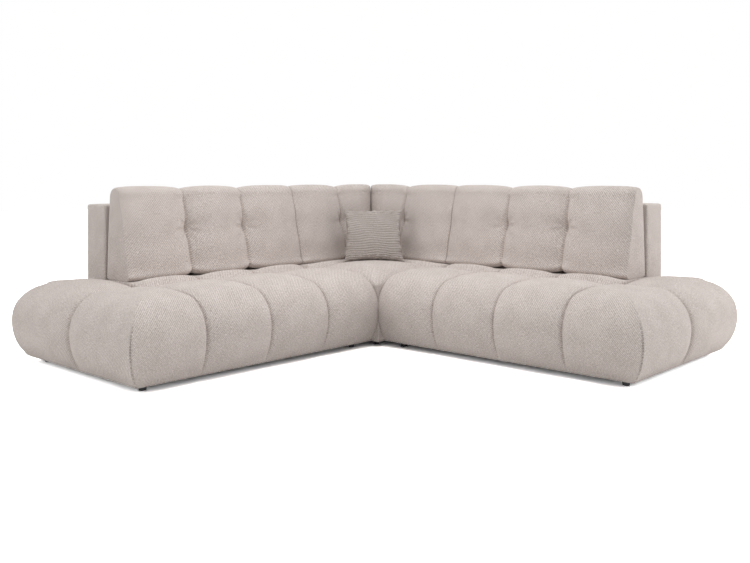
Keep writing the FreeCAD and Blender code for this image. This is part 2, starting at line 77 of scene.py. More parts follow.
class SofaSizes(bpy.types.PropertyGroup):
    pinch: metres("Pinch", "How far a seam is drawn in below the puffs beside it", 0.007)
    swell: metres("Swell", "How far a seat puff bulges past its seams", 0.03)
    crest: metres("Crest", "Height of the seat at the middle of a puff", 0.419)
    seam_top: metres("Seam height", "Height of the seat at a channel", 0.394)
    tuft: metres("Tuft height", "Height of the seat at a sewn tuft", 0.374)
    cushion_swell: metres("Cushion swell", "How far a back cushion's puff bulges at its foot", 0.034)
    dimple: metres("Dimple", "Depth of a tuft in a back cushion", 0.02)
    ribs: IntProperty(name="Ribs", description="Ribs across the scatter pillow", default=24, min=4)


def shade_of(name, description, default):
    return FloatVectorProperty(name=name, description=description, subtype="COLOR", size=3, default=default)


class SofaColours(bpy.types.PropertyGroup):
    cloth: shade_of("Cloth", "Main yarn of the sofa cloth", (0.572, 0.508, 0.474))
    cloth_dark: shade_of("Dark yarn", "Darker yarn of the sofa cloth", (0.385, 0.330, 0.302))
    cloth_light: shade_of("Light yarn", "Lighter yarn of the sofa cloth", (0.770, 0.706, 0.672))


# Seat covers: width of a puff, row of tufts, and rounding of the front at its shoulder and hem
PUFF = 0.37625
ROW = 0.53
WING = PUFF * 4
LAST_SEAM = PUFF * 3
SHOULDER = 0.12
TUCK = 0.055
BELLY_Z = 0.215
SEAM_SHOULDER_Z = 0.380
CREST_SHOULDER_Z = 0.407
TUFT_FULLNESS = 0.005
TUFT_SINK = 0.01
RISE = 0.19
SEAM_REACH = 0.006

# Rear of the open end, lower than the front
REAR_RUN = 0.0975
REAR_BELLY_Z = 0.275
REAR_SHOULDER_DROP = 0.020
REAR_CREST_DROP = 0.006

# Shelf behind the tufts that carries the back cushions, and the low roll in front of it
SHELF_Z = 0.4
SHELF_START = 0.665
SHELF_HELD = 0.64
SECOND_CREST = 0.588
ROLL_REACH = 0.032
WING_ROLL = 0.023
CORNER_ROLL = 0.022
LEDGE_STEP = 0.002
PANEL_EDGE = (PANEL_FRONT - 0.002, PANEL_FRONT + 0.001, 0.94, 1.0, SEAT_DEPTH)
UNDER_PANEL = PANEL_FRONT - 0.0005

# Seam across the open end, and the sewn near corner
END_PINCH = 1.7
END_SEAM_REACH = 0.007
DART_DEPTH = 0.009
DART_TOP_Z = 0.345

# Corner seat: its sewn edge below the tufts, and the runs in which its puff rises and falls
CORNER_EDGE_DROP = 0.034
CORNER_LIFT_RUN = 0.2
CORNER_FALL_RUN = 0.25

# Cloth simulation: pressures, how far each cover may swell, and the sharpness of seams
SEAT_PRESSURE = 2.0
PILLOW_PRESSURE = 1.6
WING_LIMIT = 0.012
CORNER_LIMIT = 0.010
CUSHION_LIMIT = 0.008
SEAM_CREASE = 0.85
RIM_CREASE = 0.5

# Pillow: side of its cloth, size when filled, gathers along its edges, ribs, lean and place
PILLOW_SIDE = 0.386
PILLOW_SPREAD = (0.384, 0.362, 0.132)
GATHER_PITCH = 0.058
GATHER_HEIGHT = 0.0045
GATHER_DRAW = 0.0028
EDGE_DRAW = 0.017
RIB_HEIGHT = 0.0052
RIB_WANDER = 0.22
PILLOW_LEAN = 27
PILLOW_SINK = 0.0045

# Back panels, feet and lining
PANEL_RADIUS = 0.011
PANEL_CROWN = 0.004
PANEL_RISE = 0.005
FOOT_RADIUS = 0.02
FOOT_TAPER = 0.86
LINING_INSET = 0.01
LINING_RIM = 0.005
LINING_SAG = 0.003
SMOOTH_ANGLE = math.radians(35)


# Mesh helpers


def lattice_block(name, columns, rows, rings):
    """A closed block of square faces, and the lattice step of each of its vertices."""
    bpy.ops.mesh.primitive_grid_add(x_subdivisions=columns, y_subdivisions=rows, size=2)
    block = bpy.context.object
    block.name = block.data.name = name
    switch("EDIT")
    bpy.ops.mesh.select_all(action="SELECT")
    for _ in range(rings):
        bpy.ops.mesh.extrude_region_move(TRANSFORM_OT_translate={"value": (0, 0, 1)})
    switch("OBJECT")
    turned_out(block)
    places = coordinates(block)
    steps = np.column_stack([(places[:, 0] + 1) / 2 * columns, (places[:, 1] + 1) / 2 * rows, places[:, 2]])
    return block, np.rint(steps).astype(int)


def switch(mode):
    bpy.ops.object.mode_set(mode=mode)


def only(*pieces):
    """Select just these pieces, and make the first one active."""
    bpy.ops.object.select_all(action="DESELECT")
    for piece in pieces:
        piece.select_set(True)
    bpy.context.view_layer.objects.active = pieces[0]


def read(items, name, width=1, kind=float):
    """One property of each item of a mesh, with its width in numbers."""
    values = np.zeros(len(items) * width, dtype=kind)
    items.foreach_get(name, values)
    return values if width == 1 else values.reshape(-1, width)


def set_up(data, place):
    """A new object at its place."""
    item = bpy.data.objects.new(data.name, data)
    bpy.context.scene.collection.objects.link(item)
    item.location = place
    return item


def coordinates(piece):
    return read(piece.data.vertices, "co", 3)


def normals(piece):
    return read(piece.data.vertices, "normal", 3)


def move_to(piece, places):
    piece.data.vertices.foreach_set("co", np.ascontiguousarray(places, dtype=np.float32).ravel())
    piece.data.update()


def lay_cloth(piece, steps, size, wrap, ends):
    """UV map in metres: along the wrap on the long faces, and flat on the two ends."""
    mesh = piece.data
    corners = read(mesh.loops, "vertex_index", kind=int).reshape(-1, 4)
    column = steps[corners, 0]
    on_end = np.all(column == 0, axis=1) | np.all(column == size[0], axis=1)
    uv = np.where(on_end[:, None, None], ends[corners], wrap[corners])
    layer = mesh.uv_layers.active or mesh.uv_layers.new(name="cloth")
    layer.data.foreach_set("uv", np.ascontiguousarray(uv, dtype=np.float32).ravel())


def crease(piece, chosen, amount):
    """Keep the edges that join chosen vertices sharp when the mesh is subdivided."""
    mesh = piece.data
    both = chosen[read(mesh.edges, "vertices", 2, int)].all(axis=1)
    attribute = mesh.attributes.get("crease_edge") or mesh.attributes.new("crease_edge", "FLOAT", "EDGE")
    values = read(attribute.data, "value", kind=np.float32)
    values[both] = amount
    attribute.data.foreach_set("value", values)


def spaced(low, high, count, pull=0.75):
    """Lattice lines from low to high, closer together near both ends."""
    share = np.linspace(0, 1, count + 1)
    return low + (high - low) * (share - pull * np.sin(2 * math.pi * share) / (2 * math.pi))


def eased(low, high, count, pull=0.5):
    """Lattice lines from low to high, closer together near low only."""
    share = np.linspace(0, 1, count + 1)
    return low + (high - low) * ((1 - pull) * share + pull * share ** 2)


def crown(share, power=2.1):
    """Fullness across a puff that is sewn down at both sides: 0 at the seams and 1 in the middle."""
    return np.sqrt(np.clip(1 - np.abs(2 * share - 1) ** power, 0, 1))


def rise(distance):
    """Fullness of a puff at a distance from its one seam."""
    return crown(np.clip(distance / RISE, 0, 1) / 2)


def drawn_in(places, seams, pinch):
    """How far the cloth is drawn in at places near any of its seams."""
    from_seam = np.min(np.abs(places[:, None] - seams), axis=1)
    return pinch * np.exp(-(from_seam / SEAM_REACH) ** 2)


def inflate(piece, held, pressure, limit, frames=20):
    """Swell a sewn cover by cloth simulation, with its seams held, by no more than a limit."""
    before = coordinates(piece)
    group = piece.vertex_groups.new(name="held")
    group.add([int(index) for index in np.flatnonzero(held)], 1.0, "REPLACE")
    cloth = piece.modifiers.new("Cloth", "CLOTH")
    cloth.settings.vertex_group_mass = "held"
    cloth.settings.use_pressure = True
    cloth.settings.uniform_pressure_force = pressure
    cloth.settings.effector_weights.gravity = 0
    cloth.point_cache.frame_start = 1
    cloth.point_cache.frame_end = frames
    for moment in range(1, frames + 1):
        bpy.context.scene.frame_set(moment)
    only(piece)
    bpy.ops.object.modifier_apply(modifier=cloth.name)
    bpy.context.scene.frame_set(1)
    moved = coordinates(piece) - before
    reach = np.linalg.norm(moved, axis=1, keepdims=True)
    softened = limit * np.tanh(reach / limit)
    move_to(piece, before + moved * softened / np.maximum(reach, 1e-9))
    piece.vertex_groups.remove(piece.vertex_groups["held"])


def coat(piece, material):
    piece.data.materials.clear()
    piece.data.materials.append(material)


def finish_soft(piece, material, levels=1):
    """One subdivision, smooth shading and a material."""
    only(piece)
    if levels:
        rounding = piece.modifiers.new("Rounding", "SUBSURF")
        rounding.levels = levels
        rounding.render_levels = levels
        bpy.ops.object.modifier_apply(modifier=rounding.name)
    bpy.ops.object.shade_smooth()
    coat(piece, material)


def turned_out(piece):
    """Turn the faces outwards, as a mirrored piece needs."""
    only(piece)
    switch("EDIT")
    bpy.ops.mesh.select_all(action="SELECT")
    bpy.ops.mesh.normals_make_consistent(inside=False)
    switch("OBJECT")


def dressed(piece, body, node):
    """The body that a piece rides on, and the node it stands for, which is hidden."""
    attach(piece, body)
    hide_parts(node)


def placed(points, side):
    """Wing coordinates to the sofa's own frame."""
    s, b, z = points.T
    if side == "left":
        return np.column_stack([INNER_X - b, INNER_Y - s, z])
    return np.column_stack([INNER_X + s, INNER_Y + b, z])


# Materials


def linear(text):
    """Linear colour from sRGB hex."""
    parts = [int(text[index:index + 2], 16) / 255 for index in (1, 3, 5)]
    return [c / 12.92 if c <= 0.04045 else ((c + 0.055) / 1.055) ** 2.4 for c in parts] + [1.0]


def add(tree, kind, sockets=None, **settings):
    """A shader node and its settings. A socket takes a value, a node, or a node and its output's name."""
    node = tree.nodes.new("ShaderNode" + kind)
    for key, value in settings.items():
        setattr(node, key, value)
    for key, value in (sockets or {}).items():
        source, output = value[:2] if isinstance(value, tuple) else (value, 0)
        if isinstance(source, bpy.types.Node):
            tree.links.new(source.outputs[output], node.inputs[key])
        else:
            node.inputs[key].default_value = value
    return node


def cleared(owner):
    """The empty node tree of a material or a world."""
    owner.use_nodes = True
    owner.node_tree.nodes.clear()
    return owner.node_tree


def new_material(name):
    material = bpy.data.materials.new(name)
    return material, cleared(material)


def surfaced(tree, ramp, height, strength, distance, shading):
    """Finish a material in a ramp's colours, with a bump from a height."""
    bump = add(tree, "Bump", {"Height": height, "Strength": strength, "Distance": distance})
    shader = add(tree, "BsdfPrincipled", {"Base Color": ramp, "Normal": bump, **shading})
    add(tree, "OutputMaterial", {"Surface": shader})


def noise_grain(tree, vector, scale, detail, **sockets):
    return add(tree, "TexNoise", {"Vector": vector, "Scale": scale, "Detail": detail, **sockets})


def arithmetic(tree, operation, *values):
    return add(tree, "Math", dict(enumerate(values)), operation=operation)


def ray_kinds(tree, first, *others):
    """1 for a ray of one of these kinds, and 0 for any other ray."""
    path = add(tree, "LightPath")
    seen = (path, first)
    for kind in others:
        seen = arithmetic(tree, "MAXIMUM", seen, (path, kind))
    return seen


def colour_ramp(tree, factor, stops):
    """A ramp through stops of a position and a colour, of which there are two or more."""
    ramp = add(tree, "ValToRGB", {"Fac": factor})
    elements = ramp.color_ramp.elements
    for element, (position, colour) in zip((elements[0], elements[1]), (stops[0], stops[-1])):
        element.position = position
        element.color = colour
    for position, colour in stops[1:-1]:
        elements.new(position).color = colour
    return ramp


def woven_cloth(name, pitch_mm=11.0, shade=1.0):
    """Chenille: soft, matt yarns of three shades, drawn coarser than their real 1.5 mm pitch, with a
    fine speckle, a grain along both threads and a slight diagonal twill."""
    material, tree = new_material(name)
    colours = bpy.context.scene.sofa_colours
    long_grain, short_grain, grain = 1100 / pitch_mm, 4600 / pitch_mm, 3300 / pitch_mm
    uv = (add(tree, "TexCoord"), "UV")
    patches = noise_grain(tree, uv, 11.0, 3.0, Roughness=0.55)
    weft, warp = (noise_grain(tree, add(tree, "Mapping", {"Vector": uv, "Scale": scale}), 1.0, 2.0)
                  for scale in ((long_grain, short_grain, 1.0), (short_grain, long_grain, 1.0)))
    speck = noise_grain(tree, uv, grain, 1.0)
    yarn = arithmetic(tree, "MULTIPLY", arithmetic(tree, "ADD", weft, warp), 0.5)
    melange = add(tree, "Mix", {"Factor": 0.2, "A": yarn, "B": speck})
    whole = add(tree, "Mix", {"Factor": 0.09, "A": melange, "B": patches})
    axes = add(tree, "SeparateXYZ", {"Vector": uv})
    diagonal = arithmetic(tree, "ADD", (axes, "X"), (axes, "Y"))
    twill = arithmetic(tree, "SINE", arithmetic(tree, "MULTIPLY", diagonal, 2000 * math.pi / pitch_mm))
    shown = arithmetic(tree, "MULTIPLY_ADD", twill, 0.056, whole)
    dark, middle, light = ([channel * shade for channel in colour] + [1.0] for colour in
                           (colours.cloth_dark, colours.cloth, colours.cloth_light))
    ramp = colour_ramp(tree, shown, ((0.41, dark), (0.5, middle), (0.59, light)))
    height = arithmetic(tree, "MULTIPLY_ADD", twill, 0.3, melange)
    surfaced(tree, ramp, height, 0.6, 0.0022, {
        "Roughness": 0.92, "Specular IOR Level": 0.25, "Sheen Weight": 0.22, "Sheen Roughness": 0.45,
        "Sheen Tint": (0.95, 0.9, 0.86, 1.0)})
    return material


def sawn_wood(name):
    """Sawn softwood: pale, matt, with grain lines about 4 mm apart along the board."""
    material, tree = new_material(name)
    place = add(tree, "TexCoord")
    stretch = add(tree, "Mapping", {"Vector": (place, "Object"), "Scale": (9.0, 9.0, 60.0)})
    grain = noise_grain(tree, stretch, 4.0, 6.0, Distortion=0.8)
    ramp = colour_ramp(tree, grain, ((0.35, linear("#A97B4E")), (0.7, linear("#DDB988"))))
    surfaced(tree, ramp, grain, 0.3, 0.0006, {"Roughness": 0.78})
    return material


def speckled(name, dark, light, grain_mm, roughness, metallic=0.0, sheen=0.0):
    """A finish with one fine grain: foam cells, cloth fibre, moulded plastic or zinc spangle."""
    material, tree = new_material(name)
    place = (add(tree, "TexCoord"), "Object")
    grain = noise_grain(tree, place, 1000.0 / grain_mm, 3.0)
    broad = noise_grain(tree, place, 8.0, 2.0)
    both = add(tree, "Mix", {"Factor": 0.35, "A": grain, "B": broad})
    ramp = colour_ramp(tree, both, ((0.35, linear(dark)), (0.65, linear(light))))
    surfaced(tree, ramp, grain, 0.5, 0.0004,
             {"Roughness": roughness, "Metallic": metallic, "Sheen Weight": sheen})
    return material


# Seats


class SeatCloth:
    """The lattice of one wing seat's cover, drawn in wing coordinates."""

    puff_cells = 30
    open_cells = 28
    front_cells = 24
    low_rings = 13
    high_rings = 18

    def __init__(self, sizes):
        self.sizes = sizes
        cells = self.puff_cells
        closed = np.concatenate([spaced(0, PUFF, cells)[:-1], spaced(PUFF, 2 * PUFF, cells)[:-1],
                                 spaced(2 * PUFF, LAST_SEAM - LEDGE_STEP, cells)])
        opened = spaced(LAST_SEAM, WING - SHOULDER, self.open_cells, 0.72)
        share = closed / PUFF - np.repeat((0, 1, 2), (cells, cells, cells + 1))
        share[-1] = 1.0
        self.s = np.concatenate([closed, opened])
        self.is_open = np.arange(len(self.s)) >= len(closed)
        self.full = np.concatenate([crown(share), rise(opened - LAST_SEAM)])
        front = spaced(SHOULDER, ROW, self.front_cells, 0.8)
        behind_closed = np.concatenate([eased(ROW, 0.67, 12), [0.72, 0.80], PANEL_EDGE])
        behind_open = eased(ROW, SEAT_DEPTH - REAR_RUN, len(behind_closed) - 1, 0.8)
        self.b_closed = np.concatenate([front, behind_closed[1:]])
        self.b_open = np.concatenate([front, behind_open[1:]])
        self.end_full = rise(np.abs(self.b_open - ROW))
        self.drawn = drawn_in(self.s, PUFF * np.arange(1, 4), sizes.pinch)
        self.end_drawn = END_PINCH * sizes.pinch * np.exp(-((self.b_open - ROW) / END_SEAM_REACH) ** 2)
        self.seams = cells * np.array([1, 2, 3, 3]) + (0, 0, 0, 1)
        self.rings = self.low_rings + self.high_rings
        self.size = (len(self.s) - 1, len(self.b_closed) - 1, self.rings)

    def face(self, full, ring):
        """Inset from the seam plane and height of a puffed face at a ring."""
        swell = self.sizes.swell * full
        low = ring <= self.low_rings
        run = np.where(low, TUCK, SHOULDER) + swell
        climb = np.where(low, BELLY_Z - HEM_Z, shoulder_z(full) - BELLY_Z)
        radius = (run ** 2 + climb ** 2) / (2 * run)
        share = np.where(low, ring / self.low_rings - 1, (ring - self.low_rings) / self.high_rings)
        angle = np.arcsin(climb / radius) * share
        return radius * (1 - np.cos(angle)) - swell, BELLY_Z + radius * np.sin(angle)

    def rear_top(self, full):
        """Height of the open end's rear shoulder."""
        return self.sizes.seam_top + (self.sizes.crest - self.sizes.seam_top) * full - REAR_SHOULDER_DROP

    def rear_z(self, full, ring):
        """Height of the rear of the open end at a ring: as the front's, but to its own lower shoulder."""
        z = self.face(full, ring)[1]
        squeeze = (self.rear_top(full) - BELLY_Z) / (shoulder_z(full) - BELLY_Z)
        return np.where(z > BELLY_Z, BELLY_Z + (z - BELLY_Z) * squeeze, z)

    def rear_inset(self, full, z):
        """How far the rounded rear of the open end lies in from the seat's depth."""
        climb = self.rear_top(full) - REAR_BELLY_Z
        radius = (REAR_RUN ** 2 + climb ** 2) / (2 * REAR_RUN)
        above = np.clip(z - REAR_BELLY_Z, 0, climb)
        return radius - np.sqrt(radius ** 2 - above ** 2)

    def top_z(self, i, j):
        """Height of the seat's top at lattice steps."""
        sizes = self.sizes
        full = self.full[i]
        b = np.where(self.is_open[i], self.b_open[j], self.b_closed[j])
        tuft = sizes.tuft - TUFT_SINK * (1 - full) + TUFT_FULLNESS * full
        shoulder = shoulder_z(full) - self.drawn[i]
        crest = sizes.seam_top + (sizes.crest - sizes.seam_top) * full - self.drawn[i]
        front = through((b - SHOULDER) / (ROW - SHOULDER), shoulder, crest, tuft)
        behind = through((b - ROW) / (SEAT_DEPTH - REAR_RUN - ROW), tuft, crest - REAR_CREST_DROP,
                         self.rear_top(full))
        climb = smooth((b - ROW) / (0.05 + 0.07 * (1 - full)))
        roll = WING_ROLL * full * np.exp(-((b - SECOND_CREST) / ROLL_REACH) ** 2)
        shelf = tuft + (SHELF_Z - tuft) * climb + roll
        shelf = np.where(b > UNDER_PANEL, LEDGE_Z, np.where(b > SHELF_START, SHELF_Z, shelf))
        z = np.where(b <= ROW, front, np.where(self.is_open[i], behind, shelf))
        near_end = np.clip((self.s[i] - LAST_SEAM) / (WING - SHOULDER - LAST_SEAM), 0, 1) ** 3
        return np.where(self.is_open[i], z + (shoulder_z(self.end_full[j]) - z) * near_end, z)

    def points(self, steps):
        """Wing coordinates of every lattice vertex."""
        i, j, k = steps.T
        columns, rows, rings = self.size
        full, is_open, on_top = self.full[i], self.is_open[i], k == rings
        corner_inset = self.face(np.ones(len(i)), k)[0]
        grip = np.sin(math.pi * np.clip(k / rings, 0, 1)) ** 0.5
        front_inset = self.face(full, k)[0] + self.drawn[i] * grip
        stretch = (WING - corner_inset - LAST_SEAM) / (WING - SHOULDER - LAST_SEAM)
        s = np.where(is_open, LAST_SEAM + (self.s[i] - LAST_SEAM) * stretch, self.s[i])
        top = self.top_z(i, j)
        seam_rise = (self.face(np.zeros(len(i)), k)[1] - HEM_Z) / (SEAM_SHOULDER_Z - HEM_Z)
        end_inset, end_z = self.face(self.end_full[j], k)
        z = np.select([on_top, k == 0, i == columns, (j == rows) & is_open, j == rows, i == 0],
                      [top, HEM_Z, end_z, self.rear_z(full, k), HEM_Z + (LEDGE_Z - HEM_Z) * seam_rise,
                       HEM_Z + (top - HEM_Z) * seam_rise], self.face(full, k)[1])
        on_end = (i == columns) & ~on_top
        rows_b = np.where(is_open, self.b_open[j], self.b_closed[j])
        near = ROW - (ROW - rows_b) * (ROW - np.where(on_end, corner_inset, front_inset)) / (ROW - SHOULDER)
        rear_full = np.where(i == columns, 1.0, full)
        rear_now = SEAT_DEPTH - self.rear_inset(rear_full, self.face(rear_full, k)[1])
        far = ROW + (rows_b - ROW) * (rear_now - ROW) / (SEAT_DEPTH - REAR_RUN - ROW)
        far = np.where(is_open, far, rows_b)
        b = np.where(on_top, rows_b, np.where(rows_b <= ROW, near, far))
        s = np.where(on_top, self.s[i], np.where(on_end, WING - end_inset - self.end_drawn[j] * grip, s))
        dart = np.sqrt(np.sin(math.pi * np.clip(z / DART_TOP_Z, 0, 1)))
        dart *= DART_DEPTH * ((i == columns) & (j == 0))
        s = s - dart
        b = b + dart
        return np.column_stack([s, b, z])

    def cloth_map(self, steps, points):
        """Places on the flat cloth in metres, for the long faces and the ends."""
        _, j, k = steps.T
        insets, heights = self.face(np.full(self.rings + 1, 0.7), np.arange(self.rings + 1))
        arc = np.concatenate([[0], np.cumsum(np.hypot(np.diff(insets), np.diff(heights)))])
        rows = self.size[1]
        wrap_v = np.select([k == self.rings, (k == 0) & (j > 0) & (j < rows), j == rows],
                           [arc[-1] + points[:, 1] - SHOULDER, points[:, 1],
                            arc[-1] + SEAT_DEPTH + arc[-1] - arc[k]], arc[k])
        return np.column_stack([points[:, 0], wrap_v]), np.column_stack([points[:, 1], arc[k]])

    def held(self, steps, points):
        """Vertices that the seams, the frame and the joint hold in place."""
        i, j, k = steps.T
        channels, dart, end_seam = self.sharp(steps, points)
        on_shelf = ~self.is_open[i] & (points[:, 1] > SHELF_HELD) | (i == 0) | (k == 0)
        wall = np.isin(i, self.seams[2:])
        near_seam = (points[:, 0] < LAST_SEAM + 0.03) | (points[:, 0] > WING - SHOULDER - 0.06)
        tuft_row = (j == self.front_cells) & self.is_open[i] & (k == self.rings) & near_seam
        return channels & (points[:, 1] < SHELF_HELD) | on_shelf | wall | end_seam | tuft_row | dart

    def sharp(self, steps, points):
        """Vertices of the channels, of the sewn near corner and of the seam across the open end."""
        i, j, _ = steps.T
        columns = self.size[0]
        sewn = np.isin(i, self.seams)
        dart = (i == columns) & (j == 0) & (points[:, 2] < DART_TOP_Z)
        end_seam = (j == self.front_cells) & (i == columns)
        return sewn, dart, end_seam


def shoulder_z(full):
    """Height of a seat's front shoulder, from a seam to the middle of a puff."""
    return SEAM_SHOULDER_Z + (CREST_SHOULDER_Z - SEAM_SHOULDER_Z) * full


def through(share, first, middle, last):
    """A parabola through three heights, the middle one at half way."""
    bend = 2 * (first + last - 2 * middle)
    slope = last - first - bend
    return first + slope * share + bend * share ** 2


def smooth(share):
    """An even step from 0 to 1."""
    share = np.clip(share, 0, 1)
    return share * share * (3 - 2 * share)


def sewn_cover(name, side, cloth, limit, material):
    """A cover from its lattice, swollen between its seams."""
    piece, steps = lattice_block(name + "_upholstery", *cloth.size)
    points = cloth.points(steps)
    wrap, ends = cloth.cloth_map(steps, points)
    lay_cloth(piece, steps, cloth.size, wrap, ends)
    move_to(piece, placed(points, side))
    turned_out(piece)
    inflate(piece, cloth.held(steps, points), SEAT_PRESSURE, limit)
    for chosen in cloth.sharp(steps, points):
        crease(piece, chosen, SEAM_CREASE)
    finish_soft(piece, material)
    return piece


def make_wing_seat(side, material):
    """Quilted cover of one wing, puffed between its seams."""
    cloth = SeatCloth(bpy.context.scene.sofa_sizes)
    piece = sewn_cover(side + "_seat", side, cloth, WING_LIMIT, material)
    dressed(piece, "sofa_base", side + "_seat_cover")


def corner_top_z(a, c, sizes):
    """Height of the corner seat at distances from its two joints: one full puff, and behind the tuft
    row the shelf with its roll."""
    edge = sizes.tuft - CORNER_EDGE_DROP

    def rounded(distance, run):
        return np.sqrt(np.clip(1 - (1 - np.clip(distance / run, 0, 1)) ** 2.2, 0, 1))

    lift_a, lift_c = (rounded(x, CORNER_LIFT_RUN) for x in (a, c))
    fall_a, fall_c = (rounded(ROW - x, CORNER_FALL_RUN) for x in (a, c))
    body = np.minimum(lift_a, lift_c) * (0.55 + 0.45 * np.minimum(fall_a, fall_c))
    body = 0.5 * body + 0.5 * lift_a * lift_c * (0.55 + 0.45 * fall_a * fall_c)
    z = edge + (sizes.crest - edge) * body
    far = np.maximum(a, c)
    near_joint = np.minimum(a, c)
    shelf = SHELF_Z - (SHELF_Z - edge) * (1 - np.clip(near_joint / 0.03, 0, 1)) ** 2
    roll = CORNER_ROLL * crown(np.clip(near_joint / ROW, 0, 1))
    roll = roll * np.exp(-((far - SECOND_CREST) / ROLL_REACH) ** 2)
    z = np.where(far > ROW, z + (shelf - z) * smooth((far - ROW) / 0.05), z) + roll
    return np.where(far > UNDER_PANEL, LEDGE_Z, z)


def make_corner_seat(material):
    """Cover of the square corner seat between the two joints."""
    lines = np.concatenate([spaced(0, ROW, 34), [0.545, 0.56, 0.58, 0.61, 0.68, 0.76], PANEL_EDGE])
    count = len(lines) - 1
    rings = 18
    size = (count, count, rings)
    piece, steps = lattice_block("corner_seat_upholstery", *size)
    i, j, k = steps.T
    a = lines[count - i]
    c = lines[j]
    top = corner_top_z(a, c, bpy.context.scene.sofa_sizes)
    z = HEM_Z + (top - HEM_Z) * k / rings
    points = np.column_stack([-a, c, z])
    wrap = np.column_stack([points[:, 0], np.where((k == rings) | (k == 0), c, -z + 0.4)])
    lay_cloth(piece, steps, size, wrap, np.column_stack([c, z]))
    held = (k < rings) | (np.maximum(a, c) > 0.6) | (np.minimum(a, c) < 0.001)
    held |= (np.abs(a - ROW) < 0.02) & (np.abs(c - ROW) < 0.02)
    move_to(piece, placed(points, "right"))
    turned_out(piece)
    inflate(piece, held, SEAT_PRESSURE, CORNER_LIMIT)
    crease(piece, (k == rings) & ((i == 0) | (j == count)), RIM_CREASE)
    finish_soft(piece, material)
    dressed(piece, "sofa_base", "corner_seat_cover")


# Loose cushions


def spline(knots, count):
    """Evenly spaced points along a smooth curve through knots."""
    knots = np.array(knots)
    padded = np.vstack([2 * knots[0] - knots[1], knots, 2 * knots[-1] - knots[-2]])
    t = np.linspace(0, 1, 12, endpoint=False)[:, None]
    spans = [0.5 * (2 * p1 + (p2 - p0) * t + (2 * p0 - 5 * p1 + 4 * p2 - p3) * t ** 2
                    + (3 * p1 - p0 - 3 * p2 + p3) * t ** 3)
             for p0, p1, p2, p3 in zip(padded, padded[1:], padded[2:], padded[3:])]
    fine = np.vstack(spans + [knots[-1:]])
    lengths = np.concatenate([[0], np.cumsum(np.linalg.norm(np.diff(fine, axis=0), axis=1))])
    wanted = np.linspace(0, lengths[-1], count + 1)
    return np.column_stack([np.interp(wanted, lengths, fine[:, axis]) for axis in (0, 1)]), lengths[-1]


